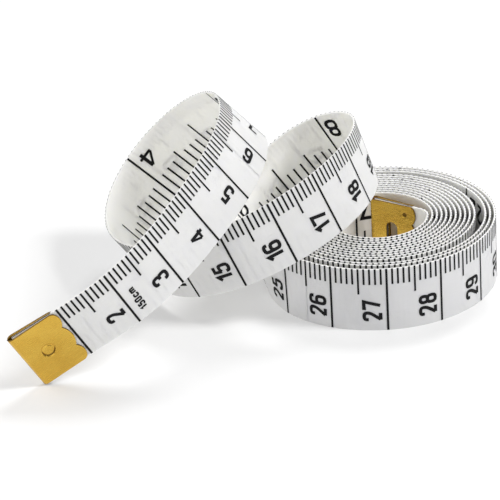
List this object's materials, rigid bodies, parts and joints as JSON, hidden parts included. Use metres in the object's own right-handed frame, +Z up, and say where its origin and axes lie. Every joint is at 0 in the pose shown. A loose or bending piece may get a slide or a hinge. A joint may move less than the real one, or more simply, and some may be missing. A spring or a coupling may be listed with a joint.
{
  "type": "tape measure",
  "caption": "Soft ribbon tape measure with folded brass end tips, lying half rolled up as a flat coil with loose curls and a free front end, for measuring cloth and the body.",
  "frame": {"origin": "the coil's axis on the table, in the plane of the coil's lower edge", "axes": "+Z up along the coil's axis, +X to the right in the picture, away from the front tip, +Y away from the viewer"},
  "size_m": [0.0854, 0.0607, 0.0361],
  "materials": {
    "tape": "white coated glass fibre cloth, satin",
    "tips": "bright rolled brass sheet"
  },
  "bodies": {
    "coil": {"tape_coil": "tape", "tape_curls": "tape"},
    "front_end": {"tape_front_run": "tape", "front_tip": "tips"},
    "tail_end": {"tape_tail_end": "tape", "tail_tip": "tips"}
  },
  "joints": [
    {"name": "front_end_flex", "type": "hinge", "parent": "coil", "child": "front_end", "pos_m": [-0.03023, -0.02351, 0.02469], "axis": [-0.5391, -0.0959, 0.8368], "range_deg": [0, 35], "stiffness_Nm_per_rad": 0.002},
    {"name": "tail_end_flex", "type": "hinge", "parent": "coil", "child": "tail_end", "pos_m": [0.00838, 0.00195, 0.006], "axis": [0, 0, 1], "range_deg": [0, 40], "stiffness_Nm_per_rad": 0.002}
  ]
}
